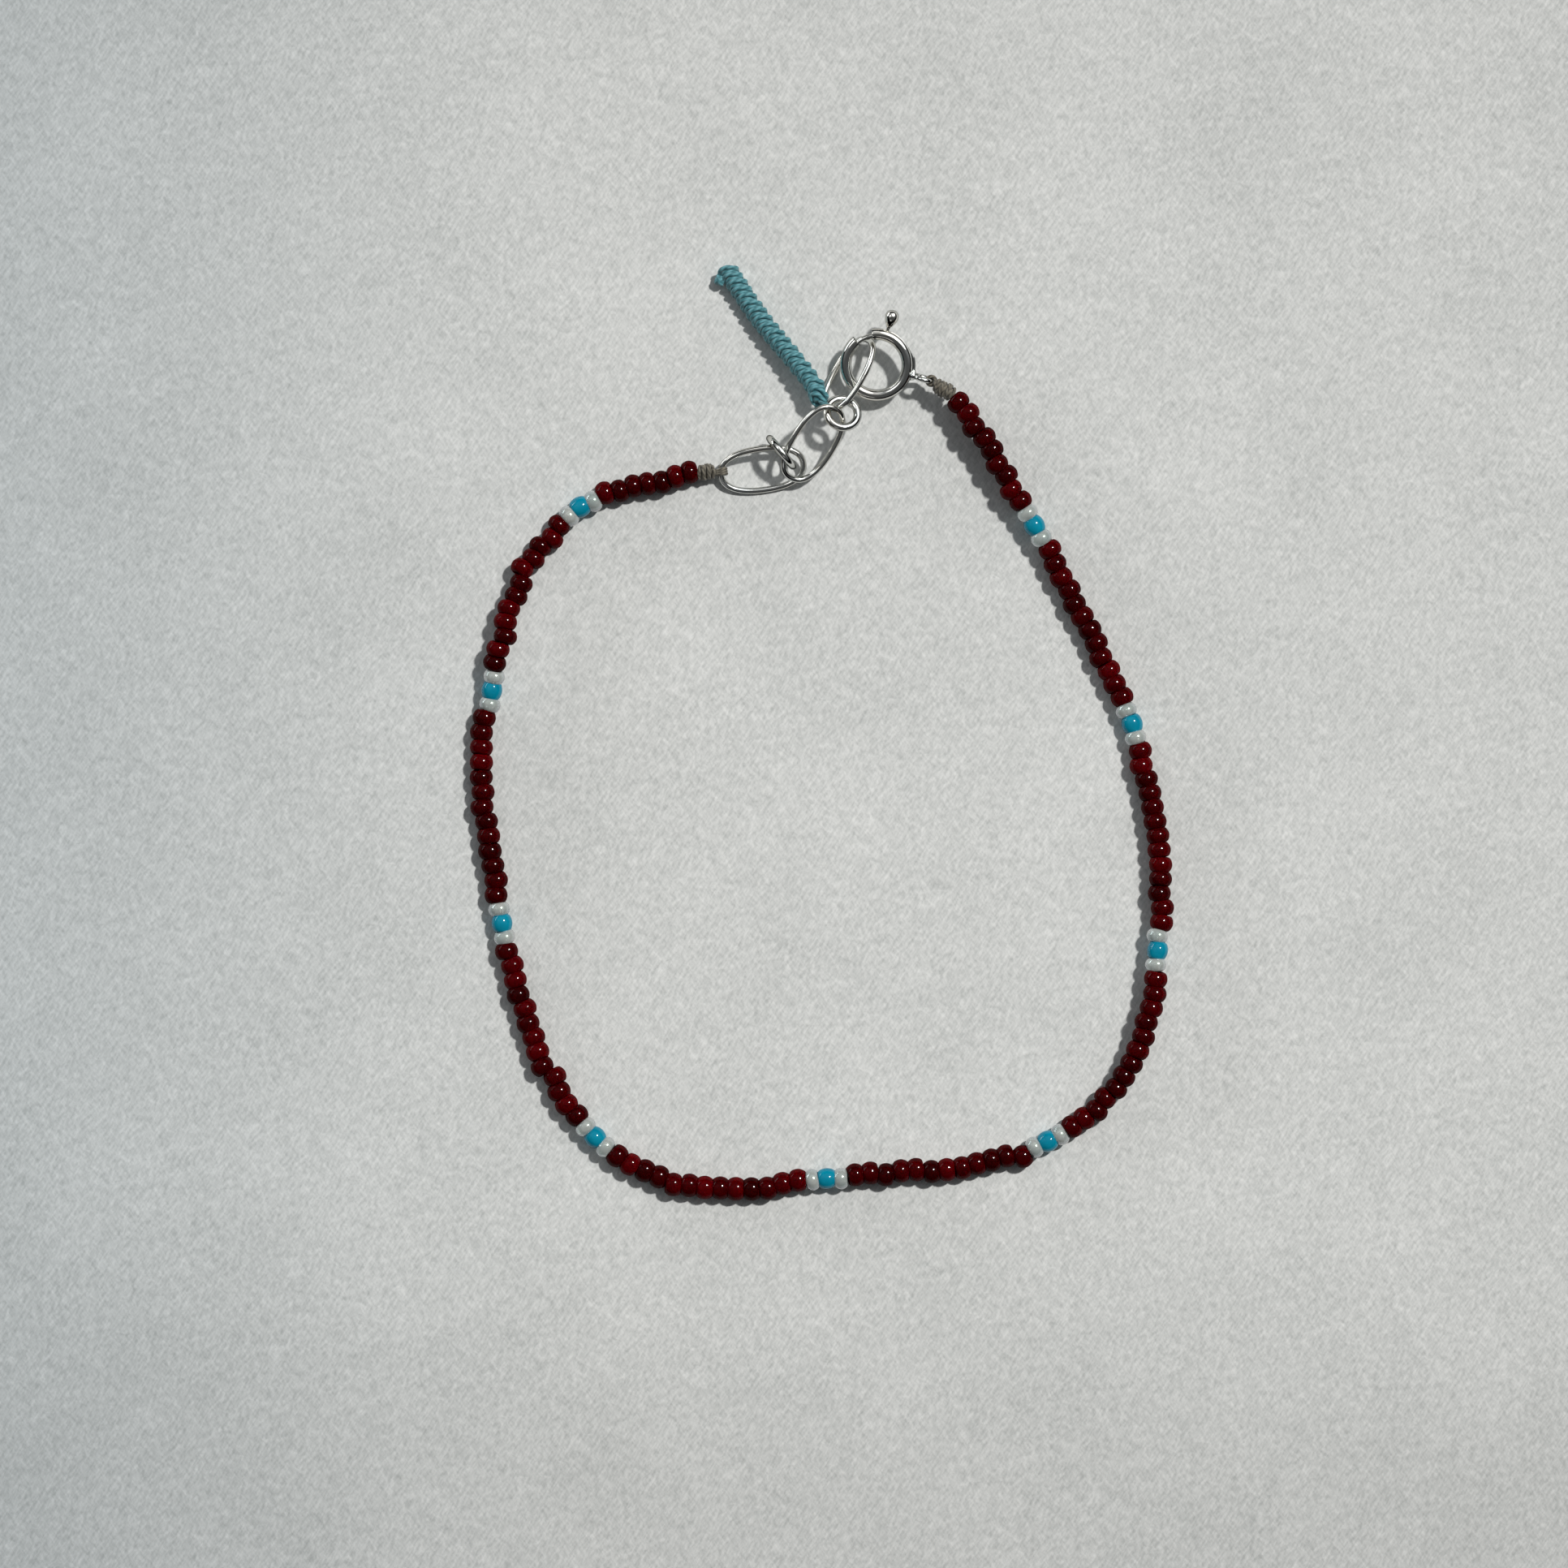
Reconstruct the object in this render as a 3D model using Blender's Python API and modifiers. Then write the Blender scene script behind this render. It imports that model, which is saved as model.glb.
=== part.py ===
# Beaded bracelet: a string of glass seed beads with a spring ring at one end
# and a short extension chain with a knotted thread dangle at the other.
# Metres, +Z up. It lies on the plane z = 0 with its length along Y.
import math

import bmesh
import bpy
from mathutils import Matrix, Vector

MM = 0.001

# string of beads
RED_RADIUS = 0.97        # widest part of a red bead
RED_VALLEY = 0.62        # radius where two red beads meet
RED_END = 0.50           # radius of a run's end faces
RED_SHOULDER = 0.26      # where the flat of a bead ends, as a share of its length
WHITE_RADIUS, WHITE_LENGTH = 0.90, 0.94
TURQUOISE_RADIUS, TURQUOISE_LENGTH = 0.87, 1.24
BEAD_GAP = 0.08          # between two separate pieces of the string
REST_HEIGHT = 0.97       # of the string's centre where it lies on the surface
RUN_COUNTS = (7, 12, 13, 13, 13, 12, 13, 13, 12, 9)
RUN_PITCHES = (1.18, 1.15, 1.215, 1.225, 1.28, 1.25, 1.20, 1.18, 1.22, 1.19)

# the string's route, from the chain's knot round to the spring ring's knot
ROUTE = (
    (-10.8, 21.3, 0.97), (-15.5, 20.2, 0.97), (-19.6, 18.7, 0.97), (-22.9, 15.5, 0.97),
    (-25.1, 11.7, 1.5), (-26.3, 7.3, 1.9), (-27.2, 2.5, 1.1), (-27.9, -2.2, 0.97),
    (-27.6, -7.0, 0.97), (-26.7, -11.9, 0.97), (-26.0, -16.6, 0.97), (-24.7, -21.5, 0.97),
    (-23.2, -26.0, 0.97), (-20.9, -30.3, 0.97), (-17.5, -34.0, 0.97), (-13.1, -36.5, 0.97),
    (-8.0, -37.4, 0.97), (-3.0, -36.9, 0.97), (1.8, -36.3, 0.97), (6.8, -35.9, 0.97),
    (11.8, -35.6, 0.97), (16.6, -34.2, 0.97), (20.8, -32.1, 0.97), (24.4, -28.7, 1.35),
    (26.3, -24.4, 1.8), (27.3, -19.8, 1.65), (27.7, -15.2, 1.4), (27.8, -10.4, 1.3),
    (27.1, -5.8, 1.15), (26.1, -1.2, 1.0), (24.6, 3.0, 0.97), (22.4, 7.6, 0.97),
    (20.2, 11.8, 0.97), (18.0, 16.0, 1.35), (15.7, 20.1, 1.75), (13.2, 24.2, 2.2),
    (11.2, 27.1, 2.05),
)

# spring ring: a bent hollow tube, its gate, its trigger and its soldered loop
RING_CENTRE = (4.5, 30.2, 2.02)
RING_TILT = 12.0         # about the line through the soldered loop
RING_RADIUS = 2.53       # of the tube's centreline
TUBE_RADIUS, TUBE_WALL = 0.47, 0.09
GATE_START, GATE_END = 97.0, 130.0      # degrees round the ring
BOLT_RADIUS = 0.31
BOLT_TAIL, BOLT_TIP = 58.0, 133.0
TRIGGER_ANGLE = 72.0
SLOT_START, SLOT_END, SLOT_WIDTH = 28.0, 78.0, 0.42
NECK_RADIUS, KNOB_RADIUS, KNOB_REACH = 0.14, 0.56, 4.72
LOOP_ANGLE = -16.5
LOOP_DISTANCE, LOOP_RADIUS, LOOP_WIRE = 4.0, 0.68, 0.185
SOLDER_RADIUS = 0.36

# chain: centre, turn in the plane, roll, pitch, half length, half width
LINK_WIRE = 0.25
LINK_POWER = 2.35        # squareness of a link's outline
LINKS = {
    "link_1": ((-4.85, 21.67, 0.92), 7.8, 21.3, 0.7, 3.40, 1.78),
    "link_2": ((-0.69, 23.73, 2.44), 58.2, 27.0, 16.6, 3.45, 1.80),
    "link_3": ((2.25, 29.49, 1.67), 61.8, -49.3, -5.1, 3.30, 1.80),
}
# small rings: centre, heading, lean, radius of the wire's centreline, wire radius
SMALL_RINGS = {
    "small_ring_1": ((-3.30, 23.03, 1.95), -50.0, 90.0, 1.47, 0.30),
    "small_ring_2": ((1.70, 26.20, 2.80), 153.0, 24.0, 1.28, 0.33),
}

# thread knots and the knotted dangle
THREAD = 0.13
LEFT_EYE = (-8.27, 21.46, 0.97)
RIGHT_EYE_RADIUS = 0.40
LEFT_EYE_RADIUS = 0.47
KNOT_RADIUS = 0.62
DANGLE_ROUTE = (
    (-7.83, 38.17, 0.82), (-6.33, 35.87, 0.82), (-4.73, 33.60, 1.00), (-2.53, 30.93, 1.40),
    (-0.53, 28.33, 1.90), (-0.30, 27.20, 2.25),
)
DANGLE_KNOTS = 17
DANGLE_CREST, DANGLE_VALLEY = 0.82, 0.70

# middle of the whole piece, so that the frame's origin lies under it
CENTRE_X, CENTRE_Y = -0.04, 0.0


def material(name, colour, roughness, metallic=0.0):
    mat = bpy.data.materials.new(name)
    mat.use_nodes = True
    shader = mat.node_tree.nodes["Principled BSDF"]
    shader.inputs["Base Color"].default_value = (*colour, 1.0)
    shader.inputs["Roughness"].default_value = roughness
    shader.inputs["Metallic"].default_value = metallic
    mat.diffuse_color = (*colour, 1.0)
    return mat


def smooth_route(points, steps=24):
    """A smooth curve through the points, as a finely stepped list with its lengths."""
    pts = [Vector(p) for p in points]
    ends = [2 * pts[0] - pts[1]] + pts + [2 * pts[-1] - pts[-2]]
    # the ends are extended, so that pieces can reach just past the first and last point
    fine = [pts[0] - (pts[1] - pts[0]) * 0.3]
    for i in range(1, len(ends) - 2):
        a, b, c, d = ends[i - 1:i + 3]
        for k in range(steps):
            t = k / steps
            fine.append(0.5 * ((2 * b) + (c - a) * t + (2 * a - 5 * b + 4 * c - d) * t * t
                               + (3 * b - a - 3 * c + d) * t ** 3))
    fine.append(pts[-1])
    fine.append(pts[-1] + (pts[-1] - pts[-2]) * 0.3)
    lengths = [0.0]
    for p, q in zip(fine, fine[1:]):
        lengths.append(lengths[-1] + (q - p).length)
    start = (fine[1] - fine[0]).length
    return fine, [s - start for s in lengths]


def at_length(route, s, floor=None):
    """The point at a length along the route."""
    fine, lengths = route
    i = 0
    while i < len(lengths) - 2 and lengths[i + 1] < s:
        i += 1
    t = (s - lengths[i]) / (lengths[i + 1] - lengths[i])
    p = fine[i].lerp(fine[i + 1], t)
    if floor is not None:
        p.z = max(p.z, floor)
    return p


def tube_curve(name, points, radii, sides, closed=False, caps=True, turn=0.0):
    """A poly curve with a round bevel; radii swell it point by point."""
    curve = bpy.data.curves.new(name, "CURVE")
    curve.dimensions = "3D"
    curve.twist_mode = "Z_UP"
    curve.bevel_depth = MM
    curve.bevel_resolution = (sides - 4) // 2
    curve.use_fill_caps = caps and not closed
    spline = curve.splines.new("POLY")
    spline.points.add(len(points) - 1)
    for point, co, radius in zip(spline.points, points, radii):
        point.co = (co[0] * MM, co[1] * MM, co[2] * MM, 1.0)
        point.radius = radius
        point.tilt = turn
    spline.use_cyclic_u = closed
    spline.use_smooth = True
    return curve


def put(collection, name, data, parent, mat, location=(0, 0, 0), rotation=(0, 0, 0)):
    ob = bpy.data.objects.new(name, data)
    collection.objects.link(ob)
    ob.parent = parent
    ob.location = [v * MM for v in location]
    ob.rotation_euler = rotation
    if mat is not None and not data.materials:
        data.materials.append(mat)
    return ob


def solid_mesh(name, curve):
    """A curve's tube as a closed mesh, its end caps welded on."""
    temp = bpy.data.objects.new(name + "_curve", curve)
    bpy.context.scene.collection.objects.link(temp)
    bpy.context.view_layer.update()
    graph = bpy.context.evaluated_depsgraph_get()
    mesh = bpy.data.meshes.new_from_object(temp.evaluated_get(graph))
    bpy.data.objects.remove(temp)
    bpy.data.curves.remove(curve)
    bm = bmesh.new()
    bm.from_mesh(mesh)
    bmesh.ops.remove_doubles(bm, verts=bm.verts, dist=1e-6)
    bmesh.ops.recalc_face_normals(bm, faces=bm.faces)
    bm.to_mesh(mesh)
    bm.free()
    mesh.name = name
    return mesh


def cutter(collection, name, mesh, parent, location=(0, 0, 0), rotation=(0, 0, 0)):
    ob = bpy.data.objects.new(name, mesh)
    collection.objects.link(ob)
    ob.parent = parent
    ob.location = [v * MM for v in location]
    ob.rotation_euler = rotation
    ob.hide_render = True
    ob.display_type = "WIRE"
    return ob


def boolean(ob, operand, operation):
    mod = ob.modifiers.new(operand.name, "BOOLEAN")
    mod.operation = operation
    mod.object = operand
    mod.solver = "EXACT"


def arc(radius, start, end, steps):
    """Points on a circle in the XY plane, angles in degrees."""
    angles = [math.radians(start + (end - start) * i / steps) for i in range(steps + 1)]
    return [(radius * math.cos(a), radius * math.sin(a), 0.0) for a in angles]


def link_outline(half_length, half_width, steps=24):
    points = []
    for i in range(steps):
        a = 2 * math.pi * i / steps
        c, s = math.cos(a), math.sin(a)
        points.append((half_length * math.copysign(abs(c) ** (2 / LINK_POWER), c),
                       half_width * math.copysign(abs(s) ** (2 / LINK_POWER), s), 0.0))
    return points


def torus_mesh(name, radius, wire, steps, sides):
    points = arc(radius, 0, 360, steps)[:-1]
    return solid_mesh(name, tube_curve(name, points, [wire] * steps, sides, closed=True))


for old in list(bpy.data.objects):
    bpy.data.objects.remove(old)

bracelet = bpy.data.collections.new("beaded_bracelet")
cutters = bpy.data.collections.new("cutters")
bpy.context.scene.collection.children.link(bracelet)
bpy.context.scene.collection.children.link(cutters)

root = bpy.data.objects.new("bracelet", None)
bracelet.objects.link(root)
root.location = (-CENTRE_X * MM, -CENTRE_Y * MM, 0.0)

red_glass = material("red_glass", (0.10, 0.004, 0.008), 0.08)
white_glass = material("white_glass", (0.62, 0.60, 0.58), 0.18)
turquoise_glass = material("turquoise_glass", (0.02, 0.30, 0.40), 0.12)
silver = material("silver", (0.80, 0.79, 0.77), 0.12, 1.0)
grey_thread = material("grey_thread", (0.16, 0.14, 0.12), 0.75)
teal_thread = material("teal_thread", (0.05, 0.20, 0.24), 0.60)

# where each bead sits along the string
route = smooth_route(ROUTE)
route_length = route[1][-2]
group_length = 2 * WHITE_LENGTH + TURQUOISE_LENGTH + 4 * BEAD_GAP
raw_length = sum(n * p for n, p in zip(RUN_COUNTS, RUN_PITCHES)) + 9 * group_length
raw_length -= (RUN_PITCHES[0] + RUN_PITCHES[-1]) / 2
stretch = route_length / raw_length

SIDES = 10
FLAT = 1 / math.cos(math.pi / SIDES)    # makes the flats, not the corners, reach the radius


def string_at(s):
    return at_length(route, s, REST_HEIGHT)


def red_run(number, start, count, pitch):
    """One run of red beads as a single swelling tube."""
    points, radii = [], []
    for k in range(count):
        middle = start + (k + 0.5) * pitch
        if k == 0:
            points.append(string_at(start + BEAD_GAP / 2))
            radii.append(RED_END)
        else:
            points.append(string_at(middle - 0.5 * pitch))
            radii.append(RED_VALLEY)
        for side in (-1, 1):
            points.append(string_at(middle + side * RED_SHOULDER * pitch))
            radii.append(RED_RADIUS)
    points.append(string_at(start + count * pitch - BEAD_GAP / 2))
    radii.append(RED_END)
    name = "red_run_%d" % number
    middle = string_at(start + count * pitch / 2)
    points = [p - middle for p in points]
    curve = tube_curve(name, points, [r * FLAT for r in radii], SIDES)
    put(bracelet, name, curve, root, red_glass, middle)


def bead_curve(name, radius, length):
    """A short rounded bead along X."""
    xs = (-0.5 * length, -0.28 * length, 0.28 * length, 0.5 * length)
    radii = (0.72 * radius, radius, radius, 0.72 * radius)
    return tube_curve(name, [(x, 0, 0) for x in xs], [r * FLAT for r in radii], SIDES)


white_curve = bead_curve("white_bead", WHITE_RADIUS, WHITE_LENGTH)
turquoise_curve = bead_curve("turquoise_bead", TURQUOISE_RADIUS, TURQUOISE_LENGTH)


def accent(name, curve, mat, s, length):
    ahead = string_at(s + length / 2) - string_at(s - length / 2)
    heading = math.atan2(ahead.y, ahead.x)
    pitch = math.atan2(ahead.z, math.hypot(ahead.x, ahead.y))
    put(bracelet, name, curve, root, mat, string_at(s), (0, -pitch, heading))


s = -RUN_PITCHES[0] / 2 * stretch
whites = 0
for run, (count, pitch) in enumerate(zip(RUN_COUNTS, RUN_PITCHES), 1):
    red_run(run, s, count, pitch * stretch)
    s += count * pitch * stretch
    if run == len(RUN_COUNTS):
        break
    middle = s + group_length / 2 * stretch
    reach = (TURQUOISE_LENGTH + WHITE_LENGTH) / 2 + BEAD_GAP
    accent("white_bead_%d" % (whites + 1), white_curve, white_glass, middle - reach, WHITE_LENGTH)
    accent("turquoise_bead_%d" % run, turquoise_curve, turquoise_glass, middle, TURQUOISE_LENGTH)
    accent("white_bead_%d" % (whites + 2), white_curve, white_glass, middle + reach, WHITE_LENGTH)
    whites += 2
    s += group_length * stretch

# chain links, each a closed oval of wire
for name, (centre, turn, roll, pitch, half_length, half_width) in LINKS.items():
    points = link_outline(half_length, half_width)
    curve = tube_curve(name, points, [LINK_WIRE] * len(points), 6, closed=True)
    put(bracelet, name, curve, root, silver, centre,
        (math.radians(roll), math.radians(-pitch), math.radians(turn)))

for name, (centre, heading, lean, radius, wire) in SMALL_RINGS.items():
    bpy.ops.mesh.primitive_torus_add(major_segments=20, minor_segments=8,
                                     major_radius=radius * MM, minor_radius=wire * MM)
    ob = bpy.context.object
    ob.name = name
    for holder in ob.users_collection:
        holder.objects.unlink(ob)
    bracelet.objects.link(ob)
    ob.parent = root
    ob.location = [v * MM for v in centre]
    ob.rotation_euler = (math.radians(lean), 0, math.radians(heading))
    ob.data.materials.append(silver)

# spring ring, built flat round its own centre and tilted with its empty
tilt_axis = (math.cos(math.radians(LOOP_ANGLE)), math.sin(math.radians(LOOP_ANGLE)), 0)
clasp = bpy.data.objects.new("clasp", None)
bracelet.objects.link(clasp)
clasp.parent = root
clasp.location = [v * MM for v in RING_CENTRE]
clasp.rotation_euler = Matrix.Rotation(math.radians(RING_TILT), 3, tilt_axis).to_euler()

points = arc(RING_RADIUS, GATE_END, GATE_START + 360, 28)
tube = solid_mesh("spring_ring", tube_curve("tube", points, [TUBE_RADIUS] * len(points), 12,
                                            caps=False))
ring = put(bracelet, "spring_ring", tube, clasp, silver)
shell = ring.modifiers.new("wall", "SOLIDIFY")
shell.thickness = TUBE_WALL * MM
shell.offset = -1.0
shell.use_even_offset = True

slot = bpy.data.curves.new("slot", "CURVE")
slot.dimensions = "2D"
slot.fill_mode = "BOTH"
slot.extrude = SLOT_WIDTH / 2 * MM
outline = slot.splines.new("POLY")
edge = (arc(RING_RADIUS + 0.12, SLOT_START, SLOT_END, 10)
        + arc(RING_RADIUS + TUBE_RADIUS + 0.3, SLOT_END, SLOT_START, 10))
outline.points.add(len(edge) - 1)
for point, co in zip(outline.points, edge):
    point.co = (co[0] * MM, co[1] * MM, 0.0, 1.0)
outline.use_cyclic_u = True
slot_cutter = cutter(cutters, "slot_cutter", solid_mesh("slot_cutter", slot), clasp)
boolean(ring, slot_cutter, "DIFFERENCE")

loop_angle = math.radians(LOOP_ANGLE)
loop_at = (LOOP_DISTANCE * math.cos(loop_angle), LOOP_DISTANCE * math.sin(loop_angle), 0)
loop = cutter(cutters, "loop_wire", torus_mesh("loop_wire", LOOP_RADIUS, LOOP_WIRE, 20, 8), clasp,
              loop_at, (math.radians(90), 0, loop_angle))
bpy.ops.mesh.primitive_uv_sphere_add(segments=14, ring_count=8, radius=SOLDER_RADIUS * MM)
solder = bpy.context.object
solder.name = "solder"
for holder in solder.users_collection:
    holder.objects.unlink(solder)
cutters.objects.link(solder)
solder.parent = clasp
reach = RING_RADIUS + TUBE_RADIUS + 0.10
solder.location = (reach * math.cos(loop_angle) * MM, reach * math.sin(loop_angle) * MM, 0)
solder.hide_render = True
solder.display_type = "WIRE"
boolean(solder, loop, "UNION")
boolean(ring, solder, "UNION")

# the bolt slides round inside the tube; its origin is on the ring's axis
points = arc(RING_RADIUS, BOLT_TAIL, BOLT_TIP, 9)
rod = solid_mesh("spring_bolt", tube_curve("rod", points, [BOLT_RADIUS] * len(points), 10))
bolt = put(bracelet, "spring_bolt", rod, clasp, silver)
bm = bmesh.new()
profile = [(NECK_RADIUS, RING_RADIUS - 0.05), (NECK_RADIUS, 3.15), (0.30, 3.45), (0.48, 3.80),
           (KNOB_RADIUS, 4.15), (0.46, 4.47), (0.24, KNOB_REACH - 0.06)]
verts = [bm.verts.new((0, 0, KNOB_REACH * MM))]
verts += [bm.verts.new((r * MM, 0, z * MM)) for r, z in reversed(profile)]
verts.append(bm.verts.new((0, 0, (RING_RADIUS - 0.05) * MM)))
for a, b in zip(verts, verts[1:]):
    bm.edges.new((a, b))
knob_mesh = bpy.data.meshes.new("knob")
bm.to_mesh(knob_mesh)
bm.free()
knob = cutter(cutters, "knob", knob_mesh, clasp, (0, 0, 0),
              (0, math.radians(90), math.radians(TRIGGER_ANGLE)))
spin = knob.modifiers.new("turned", "SCREW")
spin.angle = math.tau
spin.steps = spin.render_steps = 12
spin.axis = "Z"
spin.use_merge_vertices = True
spin.merge_threshold = 0.00001
boolean(bolt, knob, "UNION")


def knot(name, points, radii, eye_radius, eye_at, eye_rotation):
    """A thread knot: a swelling barrel joined to the eye that goes round the wire."""
    mesh = solid_mesh(name, tube_curve(name, points, radii, 10))
    ob = put(bracelet, name, mesh, root, grey_thread)
    eye = cutter(cutters, name + "_eye", torus_mesh(name + "_eye", eye_radius, THREAD, 16, 8),
                 root, eye_at, eye_rotation)
    boolean(ob, eye, "UNION")


first = string_at(-RUN_PITCHES[0] / 2 * stretch)
eye = Vector(LEFT_EYE)
touch = eye - (eye - first).normalized() * LEFT_EYE_RADIUS
start = first.lerp(touch, 0.06)
knot("left_knot", [start.lerp(touch, t) for t in (0, 0.15, 0.4, 0.65, 0.9, 1.0)],
     [0.40, 0.55, KNOT_RADIUS, 0.58, 0.42, 0.30], LEFT_EYE_RADIUS, LEFT_EYE,
     (math.radians(90), 0, math.radians(8)))

last = string_at(route_length + RUN_PITCHES[-1] / 2 * stretch)
out = Matrix.Rotation(math.radians(RING_TILT), 3, tilt_axis) @ Vector(
    ((LOOP_DISTANCE + LOOP_RADIUS) * math.cos(loop_angle),
     (LOOP_DISTANCE + LOOP_RADIUS) * math.sin(loop_angle), 0))
eye = Vector(RING_CENTRE) + out
touch = eye - (eye - last).normalized() * RIGHT_EYE_RADIUS
start = last.lerp(touch, 0.06)
knot("right_knot", [start.lerp(touch, t) for t in (0, 0.15, 0.4, 0.65, 0.9, 1.0)],
     [0.40, 0.55, KNOT_RADIUS, 0.58, 0.42, 0.30], RIGHT_EYE_RADIUS, eye, (0, 0, 0))

# the dangle, a knotted bar of waxed thread
bar = smooth_route(DANGLE_ROUTE)
bar_length = bar[1][-2]
points, radii = [], []
for k in range(2 * DANGLE_KNOTS + 1):
    points.append(at_length(bar, bar_length * k / (2 * DANGLE_KNOTS)))
    share = k / (2 * DANGLE_KNOTS)
    slim = 1.0 - 0.10 * max(0.0, (share - 0.4) / 0.6)
    radii.append((DANGLE_CREST if k % 2 else DANGLE_VALLEY) * slim)
radii[0] = 0.45
radii[-1] = 0.42
curve = tube_curve("thread_dangle", points, radii, 10)
put(bracelet, "thread_dangle", curve, root, teal_thread)

for ob in bracelet.objects:
    if ob.type == "MESH":
        ob.data.shade_smooth()
        ob.data.set_sharp_from_angle(angle=math.radians(50))
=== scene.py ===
# Beaded bracelet on pale paper: glass seed beads on thread, a silver spring ring,
# a short silver chain and a knotted thread dangle. Sizes are in millimetres.
import math
import random

import bmesh
import bpy
from mathutils import Matrix, Vector


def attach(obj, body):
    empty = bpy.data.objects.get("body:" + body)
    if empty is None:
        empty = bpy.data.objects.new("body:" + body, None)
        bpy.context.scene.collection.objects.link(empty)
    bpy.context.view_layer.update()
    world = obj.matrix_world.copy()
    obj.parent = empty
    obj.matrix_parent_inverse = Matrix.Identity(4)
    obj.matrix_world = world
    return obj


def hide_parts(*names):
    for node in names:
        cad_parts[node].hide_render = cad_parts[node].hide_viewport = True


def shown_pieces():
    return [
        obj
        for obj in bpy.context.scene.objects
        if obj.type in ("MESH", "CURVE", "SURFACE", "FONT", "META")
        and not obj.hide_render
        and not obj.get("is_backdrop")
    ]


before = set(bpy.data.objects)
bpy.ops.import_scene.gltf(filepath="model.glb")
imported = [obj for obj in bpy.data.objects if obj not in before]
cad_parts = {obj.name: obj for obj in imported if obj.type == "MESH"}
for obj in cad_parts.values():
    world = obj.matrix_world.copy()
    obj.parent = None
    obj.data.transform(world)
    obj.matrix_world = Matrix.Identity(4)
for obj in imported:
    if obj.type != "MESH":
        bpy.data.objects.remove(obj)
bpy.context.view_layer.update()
mm = 0.001
shift = Vector((0.04, 0.0, 0.0))  # the part's own numbers to the frame's middle

# camera

photoView = {
    "width": 128.8,  # of the paper that the square picture takes in
    "distance": 600.0,
    "middle": (-3.03, -4.13),
    "sensor": 36.0,
    "clip": (0.01, 20.0),  # in metres
}


def makeCamera(view):
    data = bpy.data.cameras.new("camera")
    data.sensor_width = view["sensor"]
    data.lens = view["sensor"] * view["distance"] / view["width"]
    data.clip_start, data.clip_end = view["clip"]
    camera = bpy.data.objects.new("camera", data)
    camera.location = Vector((*view["middle"], view["distance"])) * mm
    bpy.context.scene.collection.objects.link(camera)
    bpy.context.scene.camera = camera


makeCamera(photoView)
bpy.context.scene.view_settings.view_transform = "Standard"
print("camera set")


# material helpers


class Wire:
    # one output of a node, on which sums can be written

    def __init__(self, finish, socket):
        self.finish = finish
        self.socket = socket

    def sum(self, operation, a, b):
        return self.finish.node("ShaderNodeMath", {"operation": operation}, {0: a, 1: b})

    def __add__(self, other):
        return self.sum("ADD", self, other)

    __radd__ = __add__

    def __sub__(self, other):
        return self.sum("SUBTRACT", self, other)

    def __rsub__(self, other):
        return self.sum("SUBTRACT", other, self)

    def __mul__(self, other):
        return self.sum("MULTIPLY", self, other)

    __rmul__ = __mul__

    def __truediv__(self, other):
        return self.sum("DIVIDE", self, other)

    def __rtruediv__(self, other):
        return self.sum("DIVIDE", other, self)


class Finish:
    # a material, or the world, with its nodes

    def __init__(self, name, owner=None, **constants):
        self.material = owner or bpy.data.materials.new(name)
        self.material.use_nodes = True
        self.tree = self.material.node_tree
        self.shader = self.tree.nodes.get("Principled BSDF")
        for socket, value in constants.items():
            self.shader.inputs[socket.replace("_", " ")].default_value = value

    def node(self, kind, settings=None, values=None, out=0):
        made = self.tree.nodes.new(kind)
        for key, value in (settings or {}).items():
            if key == "stops":
                while len(made.color_ramp.elements) < len(value):
                    made.color_ramp.elements.new(0.5)
                for element, (place, colour) in zip(made.color_ramp.elements, value):
                    element.position = place
                    element.color = (*colour, 1.0)
            else:
                setattr(made, key, value)
        for key, value in (values or {}).items():
            if isinstance(value, Wire):
                self.tree.links.new(value.socket, made.inputs[key])
            else:
                made.inputs[key].default_value = value
        return Wire(self, made.outputs[out])

    def link(self, wire, socket):
        self.tree.links.new(wire.socket, self.shader.inputs[socket])

    def place(self):
        return self.node("ShaderNodeTexCoord", out="Object")

    def axis(self, vector, n):
        # one of a vector's three numbers
        return self.node("ShaderNodeSeparateXYZ", None, {0: vector}, n)

    def noise(self, scale, detail=2.0, where=None, roughness=0.5, distortion=0.0):
        return self.node("ShaderNodeTexNoise", None, {
            "Vector": where or self.place(), "Scale": scale, "Detail": detail,
            "Roughness": roughness, "Distortion": distortion})

    def ramp(self, wire, *stops):
        return self.node("ShaderNodeValToRGB", {"stops": stops}, {"Fac": wire}, "Color")

    def spread(self, wire, low, high, newLow, newHigh):
        return self.node("ShaderNodeMapRange", {"interpolation_type": "SMOOTHSTEP"}, {
            "Value": wire, "From Min": low, "From Max": high,
            "To Min": newLow, "To Max": newHigh})

    def mix(self, share, a, b, blend="MIX"):
        return self.node("ShaderNodeMix", {"data_type": "RGBA", "blend_type": blend},
                         {0: share, 6: a, 7: b}, 2)

    def bump(self, height, distance, strength=1.0):
        bumpy = self.node("ShaderNodeBump", None, {
            "Height": height, "Distance": distance * mm, "Strength": strength}, "Normal")
        self.link(bumpy, "Normal")

    def attribute(self, name):
        return self.node("ShaderNodeAttribute", {"attribute_name": name}, None, "Fac")


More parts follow.
